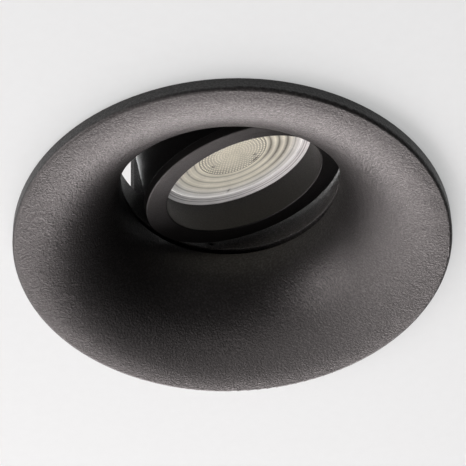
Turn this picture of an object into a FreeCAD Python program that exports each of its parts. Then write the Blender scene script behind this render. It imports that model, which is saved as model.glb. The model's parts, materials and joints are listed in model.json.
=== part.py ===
import FreeCAD, Part
import math
import os

# Recessed soffit downlight with a trumpet-shaped bell and a tilting spot lamp.
# Millimetres. +Z points up into the soffit, and the origin is the centre of the rim's
# top face, which rests against the underside of the soffit board.

# ---------------------------------------------------------------- driving sizes
# Bell
rim_radius = 62.5
rim_height = 4.1            # how far the rim stands below the board
rim_wall = 1.8
rim_edge_round = 1.0
bell_wall = 1.8
throat_step = 0.5           # throat's lip inside the carrier ring's mouth
throat_height = 24.7        # lip of the throat above the board's underside
neck_shoulder = 1.6         # ledge behind the throat that the collar sits on
groove_width = 3.5
groove_depth = 1.9
rib_wall = 1.8
rib_height = 1.5            # locating rib that stands inside the board's hole
rim_root = 1.1              # how deep the rim's section runs into the bell's wall
gasket_inner_gap = 1.0      # leaves room for the edge of the board's hole
gasket_outer_gap = 0.3

# Collar ring that the carrier turns in, pressed on to the bell's neck
seat_thickness = 1.8
neck_gap = 0.1
collar_wall = 1.8
collar_height = 9.3         # above the throat's lip
collar_gap = 0.3            # between the carrier's foot and the collar
snap_wire_radius = 0.75
snap_wire_gap = 0.15
snap_opening_angle = 28.0
snap_opening_azimuth = 250.0
pad_stand = 2.0             # flat pads for the clip brackets, beyond the collar
pad_half_width = 8.0

# Carrier ring
head_clearance = 2.2        # front ring's edge to the ring's mouth
ring_draft = 2.0            # how much the ring opens towards its top
foot_step = 2.6             # foot beyond the ring's wall
foot_height = 6.4
seat_gap = 0.1
undercut_depth = 2.5
undercut_height = 2.7
mouth_edge_round = 0.3
ring_height = 15.5          # above the throat's lip
ear_wall = 1.8
ear_half_width = 9.5
ear_top = 20.0              # above the pivot
ear_corner_round = 4.0
lock_screw_radius = 1.35
lock_screw_height = 4.2     # above the throat's lip
lock_screw_setback = 0.25   # inner end of the screw behind the ring's mouth
lock_screw_azimuths = (101.5, 281.5)
socket_radius = 0.8
socket_depth = 1.3
screw_gap = 0.05

# Pivots and tilt
pivot_rise = 14.7           # pivots above the throat's lip
tilt_azimuth = 39.5         # the way the beam leans
tilt_now = 21.6
tilt_limit = 30.0
washer_thickness = 0.6
washer_gap = 0.1
washer_radius = 3.6
pivot_radius = 2.0
pivot_running_gap = 0.06
pivot_thread_radius = 1.5
pivot_thread_depth = 4.5
pivot_head_radius = 3.2
pivot_head_thickness = 1.6
screw_slot_width = 0.8
pivot_boss_radius = 5.0
boss_pocket_gap = 1.0
stop_radius = 8.5           # stop pin from the pivot's axis
stop_pin_radius = 1.25
stop_slot_gap = 0.35
stop_end_gap = 0.15
stop_head_radius = 2.4
stop_head_thickness = 1.0
stop_pin_depth = 4.0
stop_boss_radius = 3.0

# Front ring, measured along the lamp's axis from the pivot's axis
face_below_pivot = 14.8
bezel_overhang = 1.1        # front ring beyond the housing
bezel_thickness = 2.7
bezel_edge_round = 0.35
lamp_cover = 1.1            # how far the bore's end covers the lamp's edge
bore_depth = 9.6
tube_wall = 1.6
lug_count = 3
lug_height = 1.4
lug_thickness = 1.5
lug_angle = 20.0
lug_setback = 2.3           # from the back of the front ring to the lug
bayonet_turn = 20.0
bayonet_gap = 0.3
bayonet_end_angle = 1.0

# Housing
housing_skin = 2.0          # outside the bayonet's channel
housing_taper = 6.0
housing_back = 12.0         # behind the pivot's axis
housing_wall = 1.8
parting_gap = 0.3
lamp_ledge_thickness = 1.5
back_flange_thickness = 1.5
back_flange_radius = 21.5

# Lamp
lamp_radius = 25.0
lamp_rim_thickness = 3.0
lamp_gap = 0.2
lamp_side_gap = 0.6
lamp_neck_step = 1.4
lamp_wall = 1.2
lamp_cone_length = 32.0
lamp_shoulder_radius = 15.5
lamp_base_radius = 12.5
lamp_base_taper = 0.6
lamp_shoulder_length = 4.0
lamp_base_length = 8.0
lens_inset = 3.4            # lens inside the lamp's edge
lens_thickness = 1.6
lens_ring_step = 0.28
lens_ring_radii = (19.4, 16.6, 13.8, 11.0)
reflector_lip = 0.8
reflector_slope = 1.0
board_thickness_led = 1.0
board_radius_led = 17.0
board_depth = 13.6          # LED board behind the lamp's front edge
chip_size = 2.8
chip_height = 0.7
chip_circle = 9.0
chip_count = 6
spreader_thickness = 1.6
spreader_length = 12.0
inner_fit_gap = 0.2
driver_half_width = 8.0
driver_thickness = 1.6
driver_length = 10.5
pin_spacing = 10.0
pin_radius = 1.2
pin_head_radius = 2.3
pin_head_thickness = 2.0
pin_reach = 5.5             # base to the far end of the pin
base_spigot_length = 3.0
base_spigot_wall = 1.3

# Lampholder and its stirrup
holder_gap = 0.2
holder_half_length = 14.0
holder_half_width = 9.0
holder_height = 12.0
holder_face_thickness = 3.0
holder_corner_round = 2.0
slot_gap = 0.4
entry_gap = 0.4
chamber_gap = 0.5
chamber_height = 3.9
lamp_turn = 50.0
contact_thickness = 0.9
contact_gap = 0.15
cover_thickness = 1.2
outlet_radius = 1.6
outlet_spacing = 9.0
outlet_depth = 5.0
holder_screw_spacing = 22.0
holder_screw_radius = 1.5
holder_screw_depth = 4.5
small_head_height = 1.2
holder_screw_head = 2.6
stirrup_thickness = 1.2
stirrup_half_width = 5.0
stirrup_side_gap = 1.4
foot_screw_radius = 0.9
foot_screw_head = 1.6
foot_screw_depth = 3.5
foot_length = 4.0
stirrup_lamp_gap = 1.7

# Clips
board_thickness = 12.5      # soffit board that the clips rest on
bracket_thickness = 1.2
bracket_half_width = 7.1
bracket_top_drop = 1.0      # below the collar's top
bracket_foot = 5.6          # below the pin's axis
ear_reach = 4.0             # beyond the pin's axis
ear_rise = 4.5
clip_pin_radius = 1.5
clip_pin_offset = 6.3       # pin's axis from the bracket's base plate
clip_pin_gap = 0.08
clip_pin_head_radius = 2.2
clip_pin_head = 0.8
arm_thickness = 1.0
arm_side_gap = 0.3
arm_length = 31.0
arm_flare = 1.5
barrel_wall = 1.1
window_half_width = 3.4
window_reach = 4.5
pad_length = 11.5
pad_skin = 0.9
fold_down = 20.0
stop_tab_reach = 3.0
stop_tab_gap = 0.15
rivet_radius = 1.5
rivet_head_radius = 2.6
rivet_head = 1.1
rivet_depth = 2.8
rivet_spacing = 5.0
spring_wire_radius = 0.45
spring_mean_radius = 2.5
spring_pitch = 1.36
spring_full_turns = 4
spring_rest_gap = 0.12
spring_arm_slope = 12.0
spring_tail_slope = 53.0

# ---------------------------------------------------------------- derived sizes
bore_radius = lamp_radius - lamp_cover
tube_radius = bore_radius + tube_wall
lug_radius = tube_radius + lug_height
channel_radius = lug_radius + bayonet_gap
housing_radius = channel_radius + housing_skin
housing_bore = max(tube_radius + bayonet_gap, lamp_radius + lamp_side_gap)
bezel_radius = housing_radius + bezel_overhang
lens_radius = lamp_radius - lens_inset

bezel_face = -face_below_pivot
bezel_back = bezel_face + bezel_thickness
tube_end = bezel_face + bore_depth
lug_front = bezel_back + lug_setback
lug_back = lug_front + lug_thickness
housing_front = bezel_back + parting_gap
channel_front = lug_front - bayonet_gap
channel_back = lug_back + bayonet_gap

ring_mouth_radius = bezel_radius + head_clearance
ring_top_radius = ring_mouth_radius + ring_draft
ring_outer = ring_top_radius + ear_wall
foot_radius = ring_outer + foot_step
undercut_radius = ring_mouth_radius + undercut_depth
foot_bottom = throat_height + seat_gap
foot_top = throat_height + foot_height
ring_mouth_height = throat_height + undercut_height
ring_top = throat_height + ring_height
lock_screw_reach = ring_mouth_radius + lock_screw_setback
pivot_height = throat_height + pivot_rise
boss_face = ring_top_radius - washer_thickness - 2 * washer_gap

throat_radius = ring_mouth_radius - throat_step
neck_radius = throat_radius + bell_wall
rib_radius = rim_radius - rim_wall - groove_width
seat_bottom = throat_height - seat_thickness
collar_inner = foot_radius + collar_gap
collar_outer = collar_inner + collar_wall
collar_top = throat_height + collar_height
pad_face_radius = collar_outer + pad_stand
snap_height = foot_top + snap_wire_gap + snap_wire_radius
snap_radius = collar_inner - snap_wire_gap
snap_groove_radius = snap_radius + snap_wire_radius + snap_wire_gap

lamp_front = tube_end + lamp_gap
lamp_rim_back = lamp_front + lamp_rim_thickness
lamp_body_radius = lamp_radius - lamp_neck_step
lamp_shoulder = lamp_rim_back + lamp_cone_length
lamp_base_front = lamp_shoulder + lamp_shoulder_length
lamp_base_end = lamp_base_front + lamp_base_length
ledge_front = lamp_rim_back + lamp_gap / 2
ledge_back = ledge_front + lamp_ledge_thickness
ledge_radius = lamp_body_radius + bayonet_gap

holder_front = lamp_base_end + holder_gap
holder_back = holder_front + holder_height
cover_back = holder_back + cover_thickness
stirrup_back = cover_back + stirrup_thickness

pin_centre_radius = pin_spacing / 2
contact_half_width = (pin_head_radius + chamber_gap - contact_gap) / math.sqrt(2)
bracket_face_radius = pad_face_radius + bracket_thickness
clip_pin_x = bracket_face_radius + clip_pin_offset
barrel_radius = clip_pin_radius + clip_pin_gap + barrel_wall
clip_pin_z = board_thickness + barrel_radius + pad_skin
arm_half_width = bracket_half_width - bracket_thickness - arm_side_gap

cut_past = 1.0              # cutters run this far past the faces that they open
same_place = 0.0001         # points this close are the same point

Vec = FreeCAD.Vector
X_AXIS = Vec(1, 0, 0)
Y_AXIS = Vec(0, 1, 0)
Z_AXIS = Vec(0, 0, 1)
past = Vec(0, 0, cut_past)
nodes = {}


# ---------------------------------------------------------------- building blocks
def flat(r, z):
    return Vec(r, 0, z)


def quarter_ellipse(start, corner, end):
    """Exact quarter of an ellipse that leaves start and reaches end along the corner's sides."""
    curve = Part.BezierCurve()
    curve.setPoles([flat(*start), flat(*corner), flat(*end)])
    curve.setWeight(2, math.sqrt(1 / 2))
    return curve.toShape()


def spun_wire(edges):
    """Solid of revolution about the vertical axis from a closed outline in the XZ plane."""
    face = Part.Face(Part.Wire(edges))
    return face.revolve(Vec(0, 0, 0), Z_AXIS, 360)


def spun(points):
    corners = [flat(*point) for point in points]
    return spun_wire(Part.makePolygon(corners + corners[:1]).Edges)


def rod(radius, start, end):
    """Cylinder between two points."""
    line = end.sub(start)
    return Part.makeCylinder(radius, line.Length, start, line)


def block(low, high):
    size = Vec(*high).sub(Vec(*low))
    return Part.makeBox(size.x, size.y, size.z, Vec(*low))


def sector(inner, outer, low, high, start_angle, end_angle):
    """Part of a ring about the vertical axis."""
    sweep = end_angle - start_angle
    ring = Part.makeCylinder(outer, high - low, Vec(0, 0, low), Z_AXIS, sweep)
    ring = ring.cut(Part.makeCylinder(inner, high - low, Vec(0, 0, low)))
    ring.rotate(Vec(0, 0, 0), Z_AXIS, start_angle)
    return ring


def extruded(points, depth_vector):
    return Part.Face(Part.makePolygon(points + points[:1])).extrude(depth_vector)


def turned(shape, axis, angle, centre=Vec(0, 0, 0)):
    copy = shape.copy()
    copy.rotate(centre, axis, angle)
    return copy


def both_ways(shape, axis=Z_AXIS):
    return [shape, turned(shape, axis, 180)]


def fused(shapes):
    return shapes[0].multiFuse(shapes[1:]).removeSplitter()


def rounded_edges(shape, radius, chosen):
    return shape.makeFillet(radius, [edge for edge in shape.Edges if chosen(edge)])


def round_edge_at(radius, height):
    """Test that finds the circular edge of a spun shape at a radius and a height."""
    def is_there(edge):
        return all(vertex.Point.isEqual(flat(radius, height), same_place)
                   for vertex in edge.Vertexes)
    return is_there


def at_azimuth(shape):
    """From the tilt's own axes, X along the lean and Y along the pivots, to the fitting's."""
    return turned(shape, Z_AXIS, tilt_azimuth)


def in_head(shape):
    """From the level head's own axes, with the pivot at the origin, to its tilted place."""
    copy = turned(shape, Y_AXIS, -tilt_now)
    copy.translate(Vec(0, 0, pivot_height))
    return at_azimuth(copy)


def group(shapes):
    return Part.makeCompound(shapes)


# ---------------------------------------------------------------- bell and collar
def make_trim_bell():
    rim_bottom = -rim_height
    curve_radius = rim_radius - rim_edge_round
    throat = (throat_radius, throat_height)
    front = quarter_ellipse(throat, (throat_radius, rim_bottom), (curve_radius, rim_bottom))
    back_start = (curve_radius, rim_bottom + bell_wall)
    back_end = (neck_radius, throat_height)
    back = quarter_ellipse(back_start, (neck_radius, back_start[1]), back_end)
    rim_step = Part.makeLine(flat(curve_radius, rim_bottom), flat(*back_start))
    lip = Part.makeLine(flat(*back_end), flat(*throat))
    bell = spun_wire([front, rim_step, back, lip])

    edge_middle = rim_edge_round * math.sqrt(1 / 2)
    edge_centre = (curve_radius, rim_bottom + rim_edge_round)
    edge = Part.Arc(flat(curve_radius, rim_bottom),
                    flat(edge_centre[0] + edge_middle, edge_centre[1] - edge_middle),
                    flat(rim_radius, edge_centre[1])).toShape()
    rib_inner = rib_radius - rib_wall
    root = rim_bottom + rim_root
    outline = [(rim_radius, edge_centre[1]), (rim_radius, 0),
               (rim_radius - rim_wall, 0), (rim_radius - rim_wall, -groove_depth),
               (rib_radius, -groove_depth), (rib_radius, rib_height),
               (rib_inner, rib_height), (rib_inner, root + rim_root),
               (curve_radius, root), (curve_radius, rim_bottom)]
    sides = Part.makePolygon([flat(*point) for point in outline]).Edges
    rim = spun_wire([edge] + sides)

    shoulder_bottom = seat_bottom - neck_shoulder
    shoulder_inner = throat_radius + bell_wall / 2
    shoulder = spun([(shoulder_inner, shoulder_bottom), (neck_radius, shoulder_bottom),
                     (neck_radius + neck_shoulder, seat_bottom), (neck_radius, seat_bottom),
                     (neck_radius, throat_height), (shoulder_inner, throat_height)])
    return fused([bell, rim, shoulder])


def make_collar_ring():
    """Collar with its seat, the groove of the snap ring and two flat pads for the brackets."""
    seat_inner = neck_radius + neck_gap
    collar = spun([(seat_inner, seat_bottom), (collar_outer, seat_bottom),
                   (collar_outer, collar_top), (collar_inner, collar_top),
                   (collar_inner, throat_height), (seat_inner, throat_height)])
    groove_half = snap_wire_radius + snap_wire_gap
    groove = spun([(collar_inner - cut_past, snap_height - groove_half),
                   (snap_groove_radius, snap_height - groove_half),
                   (snap_groove_radius, snap_height + groove_half),
                   (collar_inner - cut_past, snap_height + groove_half)])
    pads = []
    holes = []
    for side in (1, -1):
        inner = side * (collar_inner + collar_wall / 2)
        outer = side * pad_face_radius
        pads.append(block((min(inner, outer), -pad_half_width, seat_bottom),
                          (max(inner, outer), pad_half_width, collar_top)))
        for height in rivet_heights():
            start = Vec(outer - side * rivet_depth, 0, height)
            end = Vec(outer + side * cut_past, 0, height)
            holes.append(rod(rivet_radius + screw_gap, start, end))
    body = fused([collar] + pads)
    hollow = Part.makeCylinder(collar_inner, collar_height, Vec(0, 0, throat_height))
    return body.cut(hollow).cut(groove).cut(group(holes))


def rivet_heights():
    middle = (seat_bottom + collar_top) / 2
    return (middle - rivet_spacing / 2, middle + rivet_spacing / 2)


def make_rim_gasket():
    inner = rib_radius + gasket_inner_gap
    outer = rim_radius - rim_wall - gasket_outer_gap
    return spun([(inner, -groove_depth), (outer, -groove_depth), (outer, 0), (inner, 0)])


def make_snap_ring():
    section = Part.Wire(Part.makeCircle(snap_wire_radius, flat(snap_radius, snap_height), Y_AXIS))
    ring = Part.Face(section).revolve(Vec(0, 0, 0), Z_AXIS, 360 - snap_opening_angle)
    return turned(ring, Z_AXIS, snap_opening_azimuth)


# ---------------------------------------------------------------- carrier
def make_carrier_ring():
    mouth = (ring_mouth_radius, ring_mouth_height)
    ring = spun([mouth, (ring_top_radius, ring_top), (ring_outer, ring_top),
                 (ring_outer, foot_top), (foot_radius, foot_top), (foot_radius, foot_bottom),
                 (undercut_radius, foot_bottom), (undercut_radius, ring_mouth_height)])
    ring = rounded_edges(ring, mouth_edge_round, round_edge_at(*mouth))
    top = pivot_height + ear_top
    ear = block((-ear_half_width, ring_top_radius, foot_top),
                (ear_half_width, ring_outer, top))

    def is_top_corner(edge):
        first, second = [vertex.Point for vertex in edge.Vertexes]
        return first.x == second.x and first.z == second.z == top

    ear = rounded_edges(ear, ear_corner_round, is_top_corner)
    inside = Vec(0, ring_mouth_radius - cut_past, pivot_height)
    pocket = rod(pivot_boss_radius + boss_pocket_gap, inside, Vec(0, ring_top_radius, pivot_height))
    hole = rod(pivot_radius + pivot_running_gap, inside, Vec(0, ring_outer + cut_past, pivot_height))
    cuts = [pocket, hole, make_stop_slot()]
    ears = both_ways(ear)
    ring = fused([ring] + ears)
    for cut in cuts:
        ring = ring.cut(group(both_ways(cut)))
    ring = at_azimuth(ring)
    for azimuth in lock_screw_azimuths:
        ring = ring.cut(lock_screw_rod(lock_screw_radius + screw_gap, azimuth, foot_radius + cut_past))
    return ring


def make_stop_slot():
    """Arc slot in an ear, round the pivot's axis, that the stop pin runs in."""
    half = stop_pin_radius + stop_slot_gap
    swing = tilt_limit + math.degrees((stop_end_gap - stop_slot_gap) / stop_radius)
    depth = ear_wall + 2 * cut_past
    arc = sector(stop_radius - half, stop_radius + half, 0, depth, 90 - swing, 90 + swing)
    ends = []
    for angle in (90 - swing, 90 + swing):
        centre = Vec(stop_radius * math.cos(math.radians(angle)),
                     stop_radius * math.sin(math.radians(angle)), 0)
        ends.append(rod(half, centre, centre.add(Vec(0, 0, depth))))
    slot = fused([arc] + ends)
    slot.rotate(Vec(0, 0, 0), X_AXIS, 90)
    slot.translate(Vec(0, ring_top_radius - cut_past + depth, pivot_height))
    return slot


def lock_screw_rod(radius, azimuth, end):
    height = throat_height + lock_screw_height
    screw = rod(radius, Vec(lock_screw_reach, 0, height), Vec(end, 0, height))
    return turned(screw, Z_AXIS, azimuth)


def make_lock_screws():
    height = throat_height + lock_screw_height
    screws = []
    for azimuth in lock_screw_azimuths:
        screw = lock_screw_rod(lock_screw_radius, azimuth, foot_radius - collar_gap)
        corners = []
        for index in range(6):
            angle = math.radians(60 * index)
            corners.append(Vec(lock_screw_reach, socket_radius * math.cos(angle),
                               height + socket_radius * math.sin(angle)))
        socket = turned(extruded(corners, Vec(socket_depth, 0, 0)), Z_AXIS, azimuth)
        screws.append(screw.cut(socket))
    return group(screws)


# ---------------------------------------------------------------- head: housing and pivots
def housing_outside(z):
    return housing_radius - (z - housing_front) * math.tan(math.radians(housing_taper))


def make_housing():
    inside_back = housing_back - back_flange_thickness
    shell = spun([(housing_bore, housing_front), (housing_radius, housing_front),
                  (housing_outside(housing_back), housing_back),
                  (back_flange_radius, housing_back), (back_flange_radius, inside_back),
                  (housing_outside(inside_back) - housing_wall, inside_back),
                  (housing_outside(ledge_back) - housing_wall, ledge_back),
                  (ledge_radius, ledge_back), (ledge_radius, ledge_front),
                  (housing_bore, ledge_front)])
    root = housing_outside(housing_back) - housing_wall / 2
    pivot_boss = rod(pivot_boss_radius, Vec(0, root, 0), Vec(0, boss_face, 0))
    stop_boss = rod(stop_boss_radius, Vec(0, root, stop_radius), Vec(0, boss_face, stop_radius))
    shell = fused([shell] + both_ways(pivot_boss) + both_ways(stop_boss))
    inner_cavity = spun([(0, ledge_back), (housing_outside(ledge_back) - housing_wall, ledge_back),
                         (housing_outside(inside_back) - housing_wall, inside_back),
                         (0, inside_back)])
    shell = shell.cut(inner_cavity)
    thread = rod(pivot_thread_radius + screw_gap, Vec(0, boss_face - pivot_thread_depth, 0),
                 Vec(0, boss_face + cut_past, 0))
    pin_hole = rod(stop_pin_radius + screw_gap, Vec(0, boss_face - stop_pin_depth, stop_radius),
                   Vec(0, boss_face + cut_past, stop_radius))
    cuts = both_ways(thread) + both_ways(pin_hole)
    for start in foot_screw_places():
        cuts.append(rod(foot_screw_radius + screw_gap,
                        start.sub(Vec(0, 0, foot_screw_depth)), start.add(past)))
    for index in range(lug_count):
        angle = index * 360 / lug_count
        low = angle - lug_angle / 2 - bayonet_end_angle
        high = angle + lug_angle / 2 + bayonet_turn + bayonet_end_angle
        inner = housing_bore - cut_past
        cuts.append(sector(inner, channel_radius, channel_front, channel_back, low, high))
        cuts.append(sector(inner, channel_radius, housing_front - cut_past, channel_front,
                           low + bayonet_turn, high))
    for cut in cuts:
        shell = shell.cut(cut)
    return shell


def make_pivot_screws():
    head_start = ring_outer + washer_gap
    thread = rod(pivot_thread_radius, Vec(0, boss_face - pivot_thread_depth, 0),
                 Vec(0, boss_face, 0))
    shoulder = rod(pivot_radius, Vec(0, boss_face, 0), Vec(0, head_start, 0))
    head = rod(pivot_head_radius, Vec(0, head_start, 0),
               Vec(0, head_start + pivot_head_thickness, 0))
    head_end = head_start + pivot_head_thickness
    slot = block((-pivot_head_radius, head_end - pivot_head_thickness / 2, -screw_slot_width / 2),
                 (pivot_head_radius, head_end, screw_slot_width / 2))
    return group(both_ways(fused([thread, shoulder, head]).cut(slot)))


def make_pivot_washers():
    start = boss_face + washer_gap
    disc = rod(washer_radius, Vec(0, start, 0), Vec(0, start + washer_thickness, 0))
    hole = rod(pivot_radius + pivot_running_gap, Vec(0, start - cut_past, 0),
               Vec(0, start + washer_thickness + cut_past, 0))
    return group(both_ways(disc.cut(hole)))


def make_stop_pins():
    head_start = ring_outer + 2 * washer_gap
    shank = rod(stop_pin_radius, Vec(0, boss_face - stop_pin_depth, stop_radius),
                Vec(0, head_start, stop_radius))
    head = rod(stop_head_radius, Vec(0, head_start, stop_radius),
               Vec(0, head_start + stop_head_thickness, stop_radius))
    return group(both_ways(fused([shank, head])))


# ---------------------------------------------------------------- head: stirrup, lampholder
def lamp_outside(z):
    share = (z - lamp_rim_back) / lamp_cone_length
    return lamp_body_radius + (lamp_shoulder_radius - lamp_body_radius) * share


def stirrup_leg_foot():
    return lamp_outside(housing_back) + stirrup_lamp_gap


def foot_screw_places():
    centre = stirrup_leg_foot() + stirrup_thickness + foot_length / 2
    return [Vec(0, centre, housing_back), Vec(0, -centre, housing_back)]


def make_stirrup():
    leg = stirrup_leg_foot()
    top = holder_half_length + stirrup_side_gap
    t = stirrup_thickness
    right = [(leg, housing_back), (leg + t + foot_length, housing_back),
             (leg + t + foot_length, housing_back + t), (leg + t, housing_back + t),
             (top + t, holder_front), (top + t, stirrup_back)]
    left = [(-y, z) for y, z in reversed(right)]
    inside = [(-top, cover_back), (top, cover_back), (top, holder_front)]
    outline = right + left + [(-top, holder_front)] + inside
    strip = extruded([Vec(-stirrup_half_width, y, z) for y, z in outline],
                     Vec(2 * stirrup_half_width, 0, 0))
    holes = []
    for place in holder_screw_places(cover_back):
        holes.append(rod(holder_screw_radius + screw_gap, place.sub(past),
                         place.add(Vec(0, 0, t)).add(past)))
    for place in foot_screw_places():
        holes.append(rod(foot_screw_radius + screw_gap, place.sub(past),
                         place.add(Vec(0, 0, t)).add(past)))
    return strip.cut(group(holes))


def holder_screw_places(z):
    return [Vec(0, holder_screw_spacing / 2, z), Vec(0, -holder_screw_spacing / 2, z)]


def make_stirrup_screws():
    screws = []
    for place in foot_screw_places():
        top = place.add(Vec(0, 0, stirrup_thickness))
        shank = rod(foot_screw_radius, place.sub(Vec(0, 0, foot_screw_depth)), top)
        head = rod(foot_screw_head, top, top.add(Vec(0, 0, small_head_height)))
        screws.append(fused([shank, head]))
    return group(screws)


def make_holder_screws():
    screws = []
    for place in holder_screw_places(stirrup_back):
        end = Vec(place.x, place.y, holder_back - holder_screw_depth)
        shank = rod(holder_screw_radius, end, place)
        head = rod(holder_screw_head, place, place.add(Vec(0, 0, small_head_height)))
        screws.append(fused([shank, head]))
    return group(screws)


def pin_arc(half_width, low, high):
    """Round-ended arc along the path of one lamp pin as the lamp twists."""
    arc = sector(pin_centre_radius - half_width, pin_centre_radius + half_width,
                 low, high, 0, lamp_turn)
    ends = []
    for angle in (0, lamp_turn):
        end = rod(half_width, Vec(pin_centre_radius, 0, low), Vec(pin_centre_radius, 0, high))
        ends.append(turned(end, Z_AXIS, angle))
    return fused([arc] + ends)


def holder_outline(low, high):
    plate = block((-holder_half_width, -holder_half_length, low),
                  (holder_half_width, holder_half_length, high))
    return rounded_edges(plate, holder_corner_round,
                         lambda edge: edge.Vertexes[0].Point.z != edge.Vertexes[1].Point.z)


def make_lampholder_body():
    body = holder_outline(holder_front, holder_back)
    face_back = holder_front + holder_face_thickness
    slot = pin_arc(pin_radius + slot_gap, holder_front - cut_past, face_back)
    chamber = pin_arc(pin_head_radius + chamber_gap, face_back, face_back + chamber_height)
    entry = rod(pin_head_radius + entry_gap, Vec(pin_centre_radius, 0, holder_front - cut_past),
                Vec(pin_centre_radius, 0, face_back))
    cuts = []
    for cut in (slot, chamber, turned(entry, Z_AXIS, lamp_turn)):
        cuts += both_ways(cut)
    for place in holder_screw_places(holder_back):
        cuts.append(rod(holder_screw_radius + screw_gap,
                        place.sub(Vec(0, 0, holder_screw_depth)), place.add(past)))
    outlet_height = holder_back - outlet_radius - cover_thickness
    for side in (-1, 1):
        start = Vec(-holder_half_width - cut_past, side * outlet_spacing / 2, outlet_height)
        cuts.append(rod(outlet_radius, start, start.add(Vec(cut_past + outlet_depth, 0, 0))))
    for cut in cuts:
        body = body.cut(cut)
    return body


def make_lampholder_cover():
    plate = holder_outline(holder_back, cover_back)
    for place in holder_screw_places(holder_back):
        plate = plate.cut(rod(holder_screw_radius + screw_gap, place.sub(past),
                              place.add(Vec(0, 0, cover_thickness)).add(past)))
    return plate


def make_contacts():
    top = holder_front + holder_face_thickness + chamber_height
    plate = block((pin_centre_radius - contact_half_width, -contact_half_width,
                   top - contact_thickness),
                  (pin_centre_radius + contact_half_width, contact_half_width, top))
    return group(both_ways(plate))


# ---------------------------------------------------------------- front ring
def make_bezel_ring():
    bore_edge = (bore_radius, bezel_face)
    front_edge = (bezel_radius, bezel_face)
    back_edge = (bezel_radius, bezel_back)
    ring = spun([bore_edge, front_edge, back_edge, (tube_radius, bezel_back),
                 (tube_radius, tube_end), (bore_radius, tube_end)])
    for corner in (bore_edge, front_edge, back_edge):
        ring = rounded_edges(ring, bezel_edge_round, round_edge_at(*corner))
    lugs = []
    for index in range(lug_count):
        middle = index * 360 / lug_count
        lugs.append(sector(tube_radius - tube_wall / 2, lug_radius, lug_front, lug_back,
                           middle - lug_angle / 2, middle + lug_angle / 2))
    return fused([ring] + lugs)


# ---------------------------------------------------------------- lamp
def lamp_inside(z):
    return lamp_outside(z) - lamp_wall


def make_lamp_shell():
    pocket_radius = lamp_radius - reflector_lip
    pocket_depth = lamp_rim_thickness - lamp_wall
    return spun([(pocket_radius, lamp_front), (lamp_radius, lamp_front),
                 (lamp_radius, lamp_rim_back), (lamp_body_radius, lamp_rim_back),
                 (lamp_shoulder_radius, lamp_shoulder), (lamp_base_radius, lamp_base_front),
                 (lamp_base_radius - lamp_wall, lamp_base_front),
                 (lamp_shoulder_radius - lamp_wall, lamp_shoulder),
                 (lamp_inside(lamp_rim_back), lamp_rim_back),
                 (lamp_inside(lamp_rim_back), lamp_front + pocket_depth),
                 (pocket_radius, lamp_front + pocket_depth)])


def lens_front():
    return lamp_front + reflector_slope


def lens_back():
    return lens_front() + lens_thickness


def make_lamp_reflector():
    outer = lamp_radius - reflector_lip - inner_fit_gap
    step = lamp_inside(lamp_rim_back) - inner_fit_gap
    pocket_depth = lamp_rim_thickness - lamp_wall
    shelf_inner = lens_radius - lamp_wall
    shelf_back = lens_back() + lamp_wall
    return spun([(outer, lamp_front), (outer, lamp_front + pocket_depth),
                 (step, lamp_front + pocket_depth), (step, shelf_back),
                 (shelf_inner, shelf_back), (shelf_inner, lens_back()),
                 (lens_radius + inner_fit_gap, lens_back()),
                 (lens_radius + inner_fit_gap, lens_front())])


def make_lamp_lens():
    """Round lens whose front drops in rings towards its middle."""
    outline = [(0, lens_back()), (lens_radius, lens_back()), (lens_radius, lens_front())]
    level = lens_front()
    for radius in lens_ring_radii:
        outline.append((radius, level))
        level += lens_ring_step / 2
        outline.append((radius - lens_ring_step, level))
    outline.append((0, level))
    return spun(outline)


def led_board_front():
    return lamp_front + board_depth


def make_led_board():
    front = led_board_front()
    return Part.makeCylinder(board_radius_led, board_thickness_led, Vec(0, 0, front))


def make_led_chips():
    centres = [Vec(0, 0, 0)]
    for index in range(chip_count):
        angle = math.radians(index * 360 / chip_count)
        centres.append(Vec(chip_circle * math.cos(angle), chip_circle * math.sin(angle), 0))
    half = chip_size / 2
    front = led_board_front()
    chips = []
    for centre in centres:
        chips.append(block((centre.x - half, centre.y - half, front - chip_height),
                           (centre.x + half, centre.y + half, front)))
    return group(chips)


def make_heat_spreader():
    front = led_board_front() + board_thickness_led
    back = front + spreader_length
    inner = front + spreader_thickness
    return spun([(0, front), (lamp_inside(front) - inner_fit_gap, front),
                 (lamp_inside(back) - inner_fit_gap, back),
                 (lamp_inside(back) - inner_fit_gap - spreader_thickness, back),
                 (lamp_inside(inner) - inner_fit_gap - spreader_thickness, inner), (0, inner)])


def make_driver_board():
    return block((-driver_thickness / 2, -driver_half_width, lamp_base_front - driver_length),
                 (driver_thickness / 2, driver_half_width, lamp_base_front))


def pin_places(z):
    return [Vec(pin_centre_radius, 0, z), Vec(-pin_centre_radius, 0, z)]


def make_lamp_base():
    spigot_outer = lamp_base_radius - lamp_wall - inner_fit_gap
    spigot_inner = spigot_outer - base_spigot_wall
    spigot_front = lamp_base_front - base_spigot_length
    base = spun([(0, lamp_base_front), (spigot_inner, lamp_base_front),
                 (spigot_inner, spigot_front), (spigot_outer, spigot_front),
                 (spigot_outer, lamp_base_front), (lamp_base_radius, lamp_base_front),
                 (lamp_base_radius - lamp_base_taper, lamp_base_end), (0, lamp_base_end)])
    for place in pin_places(lamp_base_front):
        base = base.cut(rod(pin_radius + screw_gap, place.sub(past),
                            place.add(Vec(0, 0, lamp_base_length)).add(past)))
    return base


def make_lamp_pins():
    pins = []
    for place in pin_places(lamp_base_front):
        end = Vec(place.x, 0, lamp_base_end + pin_reach)
        head_start = end.sub(Vec(0, 0, pin_head_thickness))
        pins.append(fused([rod(pin_radius, place, end), rod(pin_head_radius, head_start, end)]))
    return group(pins)


# ---------------------------------------------------------------- clips, drawn at +X
def on_both_sides(make):
    """The part drawn at +X, and the same part turned to -X."""
    right = make()
    return right, turned(right, Z_AXIS, 180)


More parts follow.
